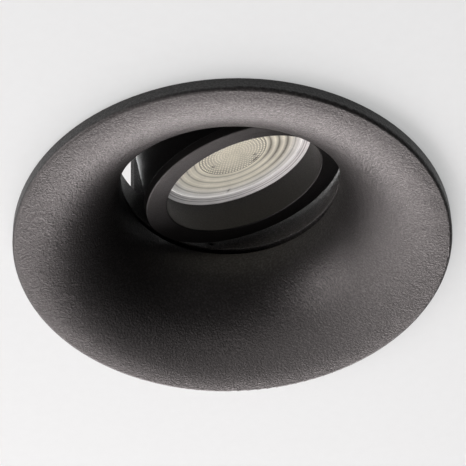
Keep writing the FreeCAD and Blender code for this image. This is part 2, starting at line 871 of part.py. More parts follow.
def make_clip_bracket():
    top = collar_top - bracket_top_drop
    bottom = clip_pin_z - bracket_foot
    plate = block((pad_face_radius, -bracket_half_width, bottom),
                  (bracket_face_radius, bracket_half_width, top))
    solids = [plate]
    for side in (-1, 1):
        inner = side * (bracket_half_width - bracket_thickness)
        outer = side * bracket_half_width
        solids.append(block((bracket_face_radius, min(inner, outer), bottom),
                            (clip_pin_x + ear_reach, max(inner, outer), clip_pin_z + ear_rise)))
    angle = math.radians(fold_down)
    tab_top = clip_pin_z - barrel_radius / math.cos(angle)
    tab_top -= stop_tab_reach * math.tan(angle) + stop_tab_gap
    solids.append(block((clip_pin_x - stop_tab_reach, -bracket_half_width, tab_top - bracket_thickness),
                        (clip_pin_x + stop_tab_reach, bracket_half_width, tab_top)))
    bracket = fused(solids)
    far = bracket_half_width + cut_past
    bracket = bracket.cut(rod(clip_pin_radius + screw_gap, Vec(clip_pin_x, -far, clip_pin_z),
                              Vec(clip_pin_x, far, clip_pin_z)))
    for height in rivet_heights():
        bracket = bracket.cut(rod(rivet_radius + screw_gap, Vec(pad_face_radius - cut_past, 0, height),
                                  Vec(bracket_face_radius + cut_past, 0, height)))
    return bracket


def make_clip_rivets():
    rivets = []
    for height in rivet_heights():
        face = Vec(bracket_face_radius, 0, height)
        shank = rod(rivet_radius, Vec(pad_face_radius - rivet_depth, 0, height), face)
        head = rod(rivet_head_radius, face, face.add(Vec(rivet_head, 0, 0)))
        rivets += both_ways(fused([shank, head]))
    return group(rivets)


def make_clip_pin():
    half = bracket_half_width
    shank = rod(clip_pin_radius, Vec(clip_pin_x, -half, clip_pin_z), Vec(clip_pin_x, half, clip_pin_z))
    heads = []
    for side in (-1, 1):
        start = Vec(clip_pin_x, side * half, clip_pin_z)
        heads.append(rod(clip_pin_head_radius, start, start.add(Vec(0, side * clip_pin_head, 0))))
    return fused([shank] + heads)


def arm_plate():
    """Flat of the arm: level at rest, its underside level with the barrel's."""
    half = arm_half_width
    wide = half + arm_flare
    flare_start = ear_reach + 2 * arm_side_gap + arm_flare
    tip = arm_length
    low = clip_pin_z - barrel_radius
    plan = [(0, -half), (flare_start, -half), (flare_start + 2 * arm_flare, -wide),
            (tip - arm_flare, -wide), (tip, -half), (tip, half), (tip - arm_flare, wide),
            (flare_start + 2 * arm_flare, wide), (flare_start, half), (0, half)]
    corners = [Vec(clip_pin_x + x, y, low) for x, y in plan]
    return extruded(corners, Vec(0, 0, arm_thickness))


def make_clip_arm():
    half = arm_half_width
    barrel = rod(barrel_radius, Vec(clip_pin_x, -half, clip_pin_z), Vec(clip_pin_x, half, clip_pin_z))
    arm = fused([barrel, arm_plate()])
    bore = rod(clip_pin_radius + clip_pin_gap, Vec(clip_pin_x, -half - cut_past, clip_pin_z),
               Vec(clip_pin_x, half + cut_past, clip_pin_z))
    reach = barrel_radius + cut_past
    window = block((clip_pin_x - reach, -window_half_width, clip_pin_z - reach),
                   (clip_pin_x + window_reach, window_half_width, clip_pin_z + reach))
    return arm.cut(bore).cut(window)


def make_clip_pad():
    low = clip_pin_z - barrel_radius - pad_skin
    high = clip_pin_z - barrel_radius + arm_thickness + pad_skin
    wide = arm_half_width + arm_flare + pad_skin
    tip = clip_pin_x + arm_length
    sleeve = block((tip - pad_length, -wide, low), (tip + pad_skin, wide, high))

    def is_end_corner(edge):
        upright = edge.Vertexes[0].Point.z != edge.Vertexes[1].Point.z
        return upright and edge.CenterOfMass.x > tip

    return rounded_edges(sleeve, arm_flare + pad_skin, is_end_corner).cut(arm_plate())


# ---------------------------------------------------------------- clip springs
def arc_from(start, tangent, end):
    """Circular arc from start, along tangent, to end."""
    chord = end.sub(start)
    along = Vec(chord).normalize()
    cosine = max(-1.0, min(1.0, tangent.dot(along)))
    side = tangent.sub(along * cosine).normalize()
    rise = chord.Length / 2 * math.tan(math.acos(cosine) / 2)
    middle = start.add(chord * 0.5).add(side * rise)
    return Part.Arc(start, middle, end).toShape()


def biarc(start, start_tangent, end, end_tangent):
    """Two arcs that join two points smoothly along the given unit tangents."""
    gap = end.sub(start)
    both = start_tangent.add(end_tangent)
    bend = 2 * (1 - start_tangent.dot(end_tangent))
    along = gap.dot(both)
    reach = (math.sqrt(along * along + bend * gap.dot(gap)) - along) / bend
    first = start.add(start_tangent * reach)
    second = end.sub(end_tangent * reach)
    middle = first.add(second) * 0.5
    tangent = second.sub(first).normalize()
    return [arc_from(start, start_tangent, middle), arc_from(middle, tangent, end)]


def coil_point(angle, start_angle, start_y):
    """Point and unit tangent on the coil, which turns from its tail towards its arm leg."""
    turned_by = start_angle - angle
    rise = spring_pitch / 360
    point = Vec(clip_pin_x + spring_mean_radius * math.cos(math.radians(angle)),
                start_y + rise * turned_by,
                clip_pin_z + spring_mean_radius * math.sin(math.radians(angle)))
    tangent = Vec(math.sin(math.radians(angle)), rise * 180 / math.pi / spring_mean_radius,
                  -math.cos(math.radians(angle)))
    return point, tangent.normalize()


def spring_path():
    """Tail on the bracket, whole turns round the pin, and the leg that bears on the arm."""
    end_angle = 90 - spring_arm_slope
    start_angle = 90 + spring_tail_slope
    sweep = start_angle - end_angle + 360 * spring_full_turns
    start_y = -spring_pitch * sweep / 360 / 2
    quarter_count = math.ceil(sweep / 90)
    stations = []
    for index in range(quarter_count + 1):
        stations.append(coil_point(start_angle - sweep * index / quarter_count, start_angle, start_y))
    first_point, first_tangent = stations[0]
    tail_gap = spring_wire_radius + spring_rest_gap
    tail_length = (first_point.x - bracket_face_radius - tail_gap) / first_tangent.x
    last_point, last_tangent = stations[-1]
    arm_top = clip_pin_z - barrel_radius + arm_thickness + tail_gap
    leg_length = (last_point.z - arm_top) / -last_tangent.z
    edges = [Part.makeLine(first_point.sub(first_tangent * tail_length), first_point)]
    for (point, tangent), (next_point, next_tangent) in zip(stations, stations[1:]):
        edges += biarc(point, tangent, next_point, next_tangent)
    edges.append(Part.makeLine(last_point, last_point.add(last_tangent * leg_length)))
    return edges


def least_gap(edges):
    """Least clear distance between stretches of the wire at least half a turn apart."""
    points = []
    travelled = []
    distance = 0.0
    for edge in edges:
        for point in edge.discretize(12)[1:]:
            if points:
                distance += point.sub(points[-1]).Length
            points.append(point)
            travelled.append(distance)
    apart = math.pi * spring_mean_radius
    nearest = 1000.0
    for index, point in enumerate(points):
        for other in range(index + 1, len(points)):
            if travelled[other] - travelled[index] > apart:
                nearest = min(nearest, point.sub(points[other]).Length)
    return nearest - 2 * spring_wire_radius


def make_clip_spring():
    edges = spring_path()
    path = Part.Wire(edges)
    start = edges[0].Vertexes[0].Point
    direction = edges[0].Vertexes[1].Point.sub(start)
    section = Part.Wire(Part.makeCircle(spring_wire_radius, start, direction))
    tube = path.makePipeShell([section], True, False)
    expected = math.pi * spring_wire_radius ** 2 * path.Length
    print("spring: gap %.2f mm, volume %.1f of %.1f mm3" % (least_gap(edges), tube.Volume, expected))
    return tube


# ---------------------------------------------------------------- all pieces
nodes["trim_bell"] = make_trim_bell()
nodes["rim_gasket"] = make_rim_gasket()
nodes["collar_ring"] = make_collar_ring()
nodes["carrier_snap_ring"] = make_snap_ring()
nodes["carrier_ring"] = make_carrier_ring()
nodes["carrier_lock_screws"] = make_lock_screws()

nodes["lamp_housing"] = in_head(make_housing())
nodes["pivot_screws"] = in_head(make_pivot_screws())
nodes["pivot_washers"] = in_head(make_pivot_washers())
nodes["stop_pins"] = in_head(make_stop_pins())
nodes["holder_stirrup"] = in_head(make_stirrup())
nodes["stirrup_screws"] = in_head(make_stirrup_screws())
nodes["lampholder_body"] = in_head(make_lampholder_body())
nodes["lampholder_cover"] = in_head(make_lampholder_cover())
nodes["lampholder_contacts"] = in_head(make_contacts())
nodes["lampholder_screws"] = in_head(make_holder_screws())
nodes["bezel_ring"] = in_head(make_bezel_ring())

nodes["lamp_shell"] = in_head(make_lamp_shell())
nodes["lamp_reflector"] = in_head(make_lamp_reflector())
nodes["lamp_lens"] = in_head(make_lamp_lens())
nodes["led_board"] = in_head(make_led_board())
nodes["led_chips"] = in_head(make_led_chips())
nodes["heat_spreader"] = in_head(make_heat_spreader())
nodes["driver_board"] = in_head(make_driver_board())
nodes["lamp_base"] = in_head(make_lamp_base())
nodes["lamp_pins"] = in_head(make_lamp_pins())

nodes["clip_rivets"] = make_clip_rivets()
sided = {"clip_bracket": make_clip_bracket, "clip_pin": make_clip_pin,
         "clip_arm": make_clip_arm, "clip_pad": make_clip_pad, "clip_spring": make_clip_spring}
for name, make in sided.items():
    nodes[name + "_right"], nodes[name + "_left"] = on_both_sides(make)

os.makedirs("parts", exist_ok=True)
for name, shape in nodes.items():
    shape.exportStep("parts/" + name + ".step")
    print(name, "solids", len(shape.Solids), "valid", shape.isValid(), "volume %.1f" % shape.Volume)
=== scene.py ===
import json
import math

import bmesh
import bpy
from mathutils import Matrix, Vector


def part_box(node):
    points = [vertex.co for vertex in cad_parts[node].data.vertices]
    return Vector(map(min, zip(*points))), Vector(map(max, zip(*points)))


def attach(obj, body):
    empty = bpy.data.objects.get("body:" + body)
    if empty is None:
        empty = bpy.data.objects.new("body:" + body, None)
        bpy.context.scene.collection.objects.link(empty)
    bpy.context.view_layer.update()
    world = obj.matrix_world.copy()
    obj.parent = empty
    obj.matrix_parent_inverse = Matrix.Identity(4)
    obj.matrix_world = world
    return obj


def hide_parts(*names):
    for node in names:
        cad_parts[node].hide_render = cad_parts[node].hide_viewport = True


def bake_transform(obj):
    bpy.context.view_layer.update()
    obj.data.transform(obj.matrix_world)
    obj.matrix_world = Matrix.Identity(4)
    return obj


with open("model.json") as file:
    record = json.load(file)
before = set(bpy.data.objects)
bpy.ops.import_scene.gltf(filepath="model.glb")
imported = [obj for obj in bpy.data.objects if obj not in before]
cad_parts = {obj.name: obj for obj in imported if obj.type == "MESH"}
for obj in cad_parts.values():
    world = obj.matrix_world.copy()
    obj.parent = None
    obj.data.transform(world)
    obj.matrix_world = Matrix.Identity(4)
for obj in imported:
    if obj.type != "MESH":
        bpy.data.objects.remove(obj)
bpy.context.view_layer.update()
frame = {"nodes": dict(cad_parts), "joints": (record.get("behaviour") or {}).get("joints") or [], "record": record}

MM = 0.001

# ---------------------------------------------------------------- camera of the photograph
CAMERA_FOCAL_PX = 2462.85
PICTURE_PX = 466
SENSOR_MM = 36.0
CAMERA_ELEVATION = math.radians(43.927)
CAMERA_ROLL = math.radians(-2.0486)
CAMERA_DISTANCE = 0.700
CAMERA_RIGHT = 0.000039
CAMERA_UP = 0.0049755
CAMERA_NEAR = 0.01
CAMERA_FAR = 20.0
RIM_BELOW_ORIGIN = 0.0041       # the camera's place is measured from the rim's lower face


def make_camera():
    forward = Vector((0, math.cos(CAMERA_ELEVATION), math.sin(CAMERA_ELEVATION)))
    level_up = Vector((0, -math.sin(CAMERA_ELEVATION), math.cos(CAMERA_ELEVATION)))
    level_right = Vector((1, 0, 0))
    right = level_right * math.cos(CAMERA_ROLL) + level_up * math.sin(CAMERA_ROLL)
    up = level_up * math.cos(CAMERA_ROLL) - level_right * math.sin(CAMERA_ROLL)
    place = right * CAMERA_RIGHT + up * CAMERA_UP - forward * CAMERA_DISTANCE
    place.z -= RIM_BELOW_ORIGIN
    data = bpy.data.cameras.new("camera")
    data.sensor_width = SENSOR_MM
    data.lens = CAMERA_FOCAL_PX * SENSOR_MM / PICTURE_PX
    data.clip_start = CAMERA_NEAR
    data.clip_end = CAMERA_FAR
    camera = bpy.data.objects.new("camera", data)
    turn = Matrix((right, up, -forward)).transposed()
    camera.matrix_world = Matrix.Translation(place) @ turn.to_4x4()
    bpy.context.scene.collection.objects.link(camera)
    bpy.context.scene.camera = camera


# ---------------------------------------------------------------- places from the frame
joints = {joint["name"]: joint for joint in frame["joints"]}
pivot = Vector(joints["lamp_tilt"]["pos_m"])
head_back = Vector(joints["lamp_twist"]["axis"]).normalized()
head_side = -Vector(joints["lamp_tilt"]["axis"]).normalized()
head_lean = head_side.cross(head_back)
head_turn = Matrix((head_lean, head_side, head_back)).transposed().to_4x4()
head_frame = Matrix.Translation(pivot) @ head_turn
to_head = head_frame.inverted()


def head_extent(node):
    """Largest radius, lowest and highest level of a node in the head's own axes."""
    points = [to_head @ vertex.co for vertex in frame["nodes"][node].data.vertices]
    radius = max(math.hypot(point.x, point.y) for point in points)
    levels = [point.z for point in points]
    return radius, min(levels), max(levels)


# ---------------------------------------------------------------- lens sizes
LENS_STEPS = (19.6 * MM, 17.2 * MM, 14.6 * MM, 12.0 * MM)      # radii of the ring lines
LENS_STEP_WIDTH = 0.28 * MM
LENS_STEP_DEPTH = 0.14 * MM
LENS_GROOVE = 0.12 * MM         # depth of the groove at a step
LENS_CREST = 0.06 * MM          # height of the crest inside a step
LENS_CREST_INSET = 1.2 * MM
LENS_LINE = 0.2 * MM            # reach of the painted shade line at a step, and of the painted highlight on a crest
LENS_FLANK = 0.62 * MM          # reach of the shading at a step, on one side of the lens
LENS_FLANK_ANGLE = math.radians(-32)
LENS_EDGE = 20.8 * MM           # the white border begins here
LENS_RING_COUNT = 150
LENS_SIDES = 360
# Small dark marks: x and y of the middle, half width and half height
LENS_MARKS = ((-1.8 * MM, 7.3 * MM, 0.6 * MM, 0.5 * MM), (7.7 * MM, -1.6 * MM, 0.5 * MM, 0.6 * MM),
              (9.5 * MM, 0.3 * MM, 0.5 * MM, 1.5 * MM), (11.6 * MM, 15.9 * MM, 0.3 * MM, 0.7 * MM))
FIELD_RADIUS = 10.6 * MM        # the domes end here
PRISM_PITCH = 0.9 * MM
PRISM_HEIGHT = 0.2 * MM
PRISMS_IN_FIRST_RING = 6
PRISM_FLOOR = 0.1               # height of the valley between two domes of a ring

# How the lens's brightness departs from 1: painted shade and highlights, and its dark marks
LINE_SHADE = 0.5
FLANK_SHADE = 0.6
CREST_SHINE = 0.18
MARK_SHADE = 0.75
EDGE_SHINE = 0.3
FIELD_SHADE = 0.06
PRISM_MEAN = 0.4
PRISM_CONTRAST = 0.3
PRISM_CONTRAST_GAIN = 1.3       # more contrast at the field's edge than in its middle
LENS_TONE_TOP = 1.5
LENS_REACH = 22.0 * MM
LENS_CREAM_RADIUS = 17.0 * MM
# painted glow: the lens glows though the lamp is off
LENS_PAINTED_GLOW = 0.44

# Bright rim round the lens: its inner and outer radius, and (position across, tone) of its grooves
RIM_INNER = 21.0 * MM
RIM_OUTER = 25.0 * MM
RIM_GROOVES = ((0.36, 0.5), (0.52, 0.42))
RIM_GROOVE_REACH = 0.05
RIM_TONE = 0.95
# painted glow: the rim glows though the lamp is off
RIM_PAINTED_GLOW = 0.16

# Noise mostly stays between these values
NOISE_LOW = 0.3
NOISE_HIGH = 0.7


# ---------------------------------------------------------------- material building blocks
class Recipe:
    """A node material, with the few nodes that the finishes here are made from."""

    def __init__(self, name, roughness, metallic=0.0, **inputs):
        self.material = bpy.data.materials.new(name)
        self.material.use_nodes = True
        self.tree = self.material.node_tree
        self.shader = self.tree.nodes["Principled BSDF"]
        self.shader.inputs["Roughness"].default_value = roughness
        self.shader.inputs["Metallic"].default_value = metallic
        for key, value in inputs.items():
            self.shader.inputs[key.replace("_", " ")].default_value = value
        self.place = self.add("ShaderNodeTexCoord").outputs["Object"]
        self.height = None

    def add(self, kind):
        return self.tree.nodes.new(kind)

    def link(self, source, target):
        self.tree.links.new(source, target)

    def stretched(self, scale):
        mapping = self.add("ShaderNodeMapping")
        mapping.inputs["Scale"].default_value = scale
        self.link(self.place, mapping.inputs["Vector"])
        return mapping.outputs["Vector"]

    def noise(self, size, detail=2.0, rough=0.5, place=None):
        """Soft noise whose lumps are about size across, in metres."""
        texture = self.add("ShaderNodeTexNoise")
        texture.inputs["Scale"].default_value = 1 / size
        texture.inputs["Detail"].default_value = detail
        texture.inputs["Roughness"].default_value = rough
        self.link(place or self.place, texture.inputs["Vector"])
        return texture.outputs["Fac"]

    def cells(self, size, feature="F1", place=None):
        texture = self.add("ShaderNodeTexVoronoi")
        texture.feature = feature
        texture.inputs["Scale"].default_value = 1 / size
        self.link(place or self.place, texture.inputs["Vector"])
        return texture.outputs["Distance"]

    def measure(self, name):
        """A number stored on each point of the mesh."""
        attribute = self.add("ShaderNodeAttribute")
        attribute.attribute_name = name
        return attribute.outputs["Fac"]

    def axis_distance(self, point, direction):
        """Distance from the line through point, in metres."""
        value = self.place
        for operation, other in (("SUBTRACT", point), ("CROSS_PRODUCT", direction),
                                 ("LENGTH", None)):
            step = self.add("ShaderNodeVectorMath")
            step.operation = operation
            self.link(value, step.inputs[0])
            if other is not None:
                step.inputs[1].default_value = other
            value = step.outputs["Value" if operation == "LENGTH" else "Vector"]
        return value

    def span(self, value, low, high, out_low, out_high):
        ranged = self.add("ShaderNodeMapRange")
        for name, number in (("From Min", low), ("From Max", high),
                             ("To Min", out_low), ("To Max", out_high)):
            ranged.inputs[name].default_value = number
        self.link(value, ranged.inputs["Value"])
        return ranged.outputs["Result"]

    def colours(self, value, stops):
        """Colour from a value, through stops of (position, colour)."""
        ramp = self.add("ShaderNodeValToRGB")
        band = ramp.color_ramp
        while len(band.elements) < len(stops):
            band.elements.new(1.0)
        for element, (position, colour) in zip(band.elements, stops):
            element.position = position
            element.color = (*colour, 1.0)
        self.link(value, ramp.inputs["Fac"])
        return ramp.outputs["Color"]

    def mixed(self, factor, first, second, kind="MIX"):
        """Mix of two colours by a number or by a socket's value."""
        mix = self.add("ShaderNodeMix")
        mix.data_type = "RGBA"
        mix.blend_type = kind
        sockets = {socket.name: socket for socket in mix.inputs if socket.enabled}
        if isinstance(factor, float):
            sockets["Factor"].default_value = factor
        else:
            self.link(factor, sockets["Factor"])
        self.link(first, sockets["A"])
        self.link(second, sockets["B"])
        return next(socket for socket in mix.outputs if socket.enabled)

    def clouded(self, colour, cloud, darkest, lightest, low=NOISE_LOW, high=NOISE_HIGH):
        """The colour times a shade that follows the cloud."""
        shading = self.colours(cloud, [(low, shade(darkest)), (high, lightest)])
        return self.mixed(1.0, colour, shading, "MULTIPLY")

    def paint(self, colour):
        self.link(colour, self.shader.inputs["Base Color"])

    def glow(self, colour):
        self.link(colour, self.shader.inputs["Emission Color"])

    def gloss(self, value, at_low, at_high, low=NOISE_LOW, high=NOISE_HIGH):
        """Roughness that follows the value."""
        self.link(self.span(value, low, high, at_low, at_high), self.shader.inputs["Roughness"])

    def relief(self, height, depth, strength=1.0):
        """Bump of the given depth, in metres, on top of any relief added before."""
        bump = self.add("ShaderNodeBump")
        bump.inputs["Strength"].default_value = strength
        bump.inputs["Distance"].default_value = depth
        self.link(height, bump.inputs["Height"])
        if self.height is not None:
            self.link(self.height, bump.inputs["Normal"])
        self.height = bump.outputs["Normal"]
        self.link(self.height, self.shader.inputs["Normal"])


WHITE = (1.0, 1.0, 1.0)


def shade(value, tint=WHITE):
    return tuple(value * part for part in tint)


# ---------------------------------------------------------------- finishes
METAL_RELIEF = 0.00003
SPECK_TINT = (1.0, 0.975, 0.97)
LENS_CREAM = (1.0, 0.955, 0.79)
LENS_PALE_CREAM = (1.0, 0.96, 0.82)
LENS_WHITE = (1.0, 0.99, 0.96)


def powder_coat(name, dark, light, roughness, grain, depth):
    """Fine sandy powder coat: grains, a softer orange peel and a few pale specks."""
    recipe = Recipe(name, roughness)
    grains = recipe.noise(grain, detail=2.0, rough=0.6)
    peel = recipe.noise(grain * 9, detail=1.0)
    cloud = recipe.noise(grain * 70, detail=3.0)
    tone = recipe.colours(grains, [(0.36, shade(dark)), (0.52, shade((dark + light) / 3)),
                                   (0.68, shade(light, SPECK_TINT))])
    recipe.paint(recipe.clouded(tone, cloud, 0.86, WHITE))
    recipe.gloss(grains, roughness + 0.08, roughness - 0.08)
    recipe.relief(peel, depth * 1.5, strength=0.5)
    recipe.relief(grains, depth)
    return recipe.material


def brushed_metal(name, dark, light, roughness, stretch, tint=WHITE):
    """Metal with fine lines that run along the axis where stretch is smallest."""
    recipe = Recipe(name, roughness, metallic=1.0)
    lines = recipe.noise(0.0009, detail=4.0, rough=0.65, place=recipe.stretched(stretch))
    stain = recipe.noise(0.006, detail=3.0, rough=0.6)
    tone = recipe.colours(lines, [(NOISE_LOW, shade(dark, tint)), (NOISE_HIGH, shade(light, tint))])
    recipe.paint(recipe.clouded(tone, stain, 0.84, WHITE, low=0.35, high=0.65))
    recipe.gloss(lines, roughness - 0.07, roughness + 0.1)
    recipe.relief(lines, METAL_RELIEF, strength=0.5)
    return recipe.material


def zinc_plate(name):
    """Zinc-plated pressed steel: faint spangle and a slightly blue tone."""
    recipe = Recipe(name, 0.34, metallic=1.0)
    spangle = recipe.cells(0.0032)
    fine = recipe.noise(0.0006, detail=3.0, rough=0.6)
    tone = recipe.colours(spangle, [(0.1, (0.56, 0.57, 0.59)), (0.7, (0.7, 0.71, 0.72))])
    recipe.paint(recipe.clouded(tone, fine, 0.88, WHITE))
    recipe.gloss(fine, 0.26, 0.44)
    recipe.relief(fine, METAL_RELIEF, strength=0.5)
    return recipe.material


def moulded(name, dark, light, roughness, grain, depth, tint=WHITE):
    """Moulded plastic, ceramic or rubber with a fine surface grain."""
    recipe = Recipe(name, roughness)
    grains = recipe.noise(grain, detail=3.0, rough=0.6)
    cloud = recipe.noise(0.007, detail=2.0)
    recipe.paint(recipe.colours(cloud, [(NOISE_LOW, shade(dark, tint)),
                                        (NOISE_HIGH, shade(light, tint))]))
    recipe.gloss(grains, roughness - 0.05, roughness + 0.07)
    recipe.relief(grains, depth, strength=0.8)
    return recipe.material


def foam(name):
    recipe = Recipe(name, 0.9)
    bubbles = recipe.cells(0.0006)
    recipe.paint(recipe.colours(bubbles, [(0.1, shade(0.03)), (0.6, shade(0.075))]))
    recipe.gloss(bubbles, 0.96, 0.82, low=0.0)
    recipe.relief(bubbles, 0.00012)
    return recipe.material


def circuit_board(name):
    """Green solder mask over faint copper tracks."""
    recipe = Recipe(name, 0.35)
    tracks = recipe.cells(0.0021, "DISTANCE_TO_EDGE")
    weave = recipe.noise(0.0004, detail=2.0)
    recipe.paint(recipe.colours(tracks, [(0.04, (0.05, 0.2, 0.09)), (0.1, (0.03, 0.13, 0.06))]))
    recipe.gloss(weave, 0.28, 0.42)
    recipe.relief(tracks, 0.00005, strength=0.5)
    return recipe.material


def phosphor(name):
    recipe = Recipe(name, 0.6)
    grains = recipe.noise(0.0003, detail=3.0)
    recipe.paint(recipe.colours(grains, [(NOISE_LOW, (0.78, 0.6, 0.14)),
                                         (NOISE_HIGH, (0.92, 0.76, 0.25))]))
    recipe.gloss(grains, 0.52, 0.68)
    recipe.relief(grains, 0.00003, strength=0.6)
    return recipe.material


def lens_optic(name):
    """Moulded lens over the lamp's inside, cream in its middle and white at its edge; it bears painted shade and
    highlights, and glows with painted light though the lamp is off.
    """
    recipe = Recipe(name, 0.22, IOR=1.49, Emission_Strength=LENS_PAINTED_GLOW)
    flow = recipe.noise(0.0012, detail=3.0, rough=0.6)
    haze = recipe.noise(0.006, detail=3.0)
    tint = recipe.colours(recipe.span(recipe.measure("radius"), 0.0, LENS_REACH, 0.0, 1.0),
                          [(0.0, LENS_CREAM), (LENS_CREAM_RADIUS / LENS_REACH, LENS_PALE_CREAM),
                           (LENS_EDGE / LENS_REACH, LENS_WHITE), (1.0, LENS_WHITE)])
    # the tone attribute's painted shade and highlights, and the dark marks, as colour
    painted_light_and_mark_colour = recipe.colours(recipe.span(recipe.measure("tone"), 0.0, LENS_TONE_TOP, 0.0, 1.0),
                            [(0.0, shade(0.02)), (0.67, shade(0.66)), (1.0, shade(1.0))])
    tone = recipe.clouded(recipe.mixed(1.0, tint, painted_light_and_mark_colour, "MULTIPLY"), haze, 0.84, WHITE)
    recipe.paint(tone)
    # painted glow in the lens's painted colours
    recipe.glow(tone)
    recipe.gloss(flow, 0.16, 0.3)
    recipe.relief(flow, 0.00002, strength=0.4)
    return recipe.material


def bright_rim(name):
    """Satin aluminised rim round the lens, with fine turned grooves, painted shade at its outer edge and a painted
    glow.
    """
    recipe = Recipe(name, 0.34, metallic=0.3, Emission_Strength=RIM_PAINTED_GLOW)
    cloud = recipe.noise(0.005, detail=3.0)
    across = recipe.span(recipe.axis_distance(pivot, head_back), RIM_INNER, RIM_OUTER, 0.0, 1.0)
    stops = [(0.0, shade(RIM_TONE))]
    for groove, tone in RIM_GROOVES:
        stops += [(groove - RIM_GROOVE_REACH, shade(RIM_TONE)), (groove, shade(tone)),
                  (groove + RIM_GROOVE_REACH, shade(RIM_TONE))]
    # painted shade: the rim darkens at its outer edge, where it meets the bore
    stops += [(0.92, shade(0.97)), (0.98, shade(0.5))]
    tone = recipe.clouded(recipe.colours(across, stops), cloud, 0.86, (1.0, 0.99, 0.98))
    recipe.paint(tone)
    # painted glow in the rim's painted colours
    recipe.glow(tone)
    recipe.gloss(cloud, 0.28, 0.42)
    recipe.relief(cloud, 0.00001, strength=0.3)
    return recipe.material


# Each finish: its recipe, and the recipe's settings
FINISHES = {
    "bell_coating": (powder_coat, dict(dark=0.001, light=0.024, roughness=0.44, grain=0.0006,
                                       depth=0.00016)),
    # the carrier's black coat is painted lighter than the bell's: painted light on the carrier ring's inner wall
    "carrier_coating": (powder_coat, dict(dark=0.02, light=0.08, roughness=0.62, grain=0.0005,
                                          depth=0.0001)),
    "head_coating": (powder_coat, dict(dark=0.001, light=0.007, roughness=0.45, grain=0.0004,
                                       depth=0.00005)),
    "gasket_foam": (foam, {}),
    "spring_steel": (brushed_metal, dict(dark=0.42, light=0.6, roughness=0.3,
                                         stretch=(1, 0.2, 1))),
    "zinc_steel": (zinc_plate, {}),
    "bright_steel": (brushed_metal, dict(dark=0.55, light=0.72, roughness=0.26,
                                         stretch=(1, 1, 0.15))),
    "black_screw": (brushed_metal, dict(dark=0.05, light=0.12, roughness=0.35,
                                        stretch=(1, 1, 0.3))),
    "pad_rubber": (moulded, dict(dark=0.035, light=0.06, roughness=0.7, grain=0.0005,
                                 depth=0.00005)),
    "holder_ceramic": (moulded, dict(dark=0.72, light=0.82, roughness=0.35, grain=0.0008,
                                     depth=0.00003, tint=(1.0, 0.98, 0.93))),
    "contact_brass": (brushed_metal, dict(dark=0.55, light=0.75, roughness=0.3,
                                          stretch=(0.2, 1, 1), tint=(1.0, 0.78, 0.42))),
    "lamp_body": (moulded, dict(dark=0.72, light=0.8, roughness=0.38, grain=0.0006,
                                depth=0.00002, tint=(1.0, 0.995, 0.98))),
    "lamp_mirror": (bright_rim, {}),
    "lamp_optic": (lens_optic, {}),
    "led_board_white": (moulded, dict(dark=0.78, light=0.85, roughness=0.4, grain=0.0004,
                                      depth=0.00001)),
    "led_phosphor": (phosphor, {}),
    "heat_aluminium": (brushed_metal, dict(dark=0.55, light=0.7, roughness=0.38,
                                           stretch=(1, 1, 0.1))),
    "circuit_board": (circuit_board, {}),
    "lamp_pin_metal": (brushed_metal, dict(dark=0.6, light=0.74, roughness=0.24,
                                           stretch=(1, 1, 0.2))),
}


def make_finishes():
    return {name: recipe(name, **settings) for name, (recipe, settings) in FINISHES.items()}


def dress_nodes(finishes):
    for part in frame["record"]["subparts"]:
        data = frame["nodes"][part["node"]].data
        data.materials.clear()
        data.materials.append(finishes[part["material_slot"]])


# ---------------------------------------------------------------- pieces modelled here
SMOOTH_ANGLE = math.radians(35)


def add_piece(name, points, faces, material):
    mesh = bpy.data.meshes.new(name)
    mesh.from_pydata([tuple(point) for point in points], [], faces)
    mesh.validate()
    mesh.materials.append(material)
    mesh.set_sharp_from_angle(angle=SMOOTH_ANGLE)
    piece = bpy.data.objects.new(name, mesh)
    bpy.context.scene.collection.objects.link(piece)
    return piece


def spun_rings(profile, sides):
    """Points and faces of a form spun about Z from (radius, level) pairs, closed at radius 0."""
    points = []
    starts = []
    for radius, level in profile:
        starts.append(len(points))
        if radius == 0:
            points.append(Vector((0, 0, level)))
            continue
        for index in range(sides):
            angle = 2 * math.pi * index / sides
            points.append(Vector((radius * math.cos(angle), radius * math.sin(angle), level)))
    faces = []
    for step in range(len(profile) - 1):
        low_radius, high_radius = profile[step][0], profile[step + 1][0]
        low, high = starts[step], starts[step + 1]
        for index in range(sides):
            after = (index + 1) % sides
            if low_radius == 0:
                faces.append((low, high + after, high + index))
            elif high_radius == 0:
                faces.append((low + index, low + after, high))
            else:
                faces.append((low + index, low + after, high + after, high + index))
    return points, faces


# ---------------------------------------------------------------- lamp lens
def hump(distance, width):
    """Smooth rise to 1 at distance 0."""
    return math.exp(-(distance / width) ** 2)


def prism_height(radius, angle):
    """Domes set in rings, from 0 in the valleys to 1 at the tops."""
    ring = max(1, round(radius / PRISM_PITCH))
    across = 0.5 + 0.5 * math.cos(2 * math.pi * radius / PRISM_PITCH)
    along = 0.5 + 0.5 * math.cos(PRISMS_IN_FIRST_RING * ring * angle)
    return across * (PRISM_FLOOR + (1 - PRISM_FLOOR) * along)


def lens_depth(radius, angle):
    """How far the front lies behind the lens's edge."""
    depth = 0.0
    for step in LENS_STEPS:
        inside = step - radius
        depth += LENS_STEP_DEPTH * min(1.0, max(0.0, inside / LENS_STEP_WIDTH))
        depth += LENS_GROOVE * hump(inside, LENS_STEP_WIDTH)
        depth -= LENS_CREST * hump(inside - LENS_CREST_INSET, LENS_STEP_WIDTH)
    if radius < FIELD_RADIUS:
        depth -= PRISM_HEIGHT * prism_height(radius, angle)
    return depth


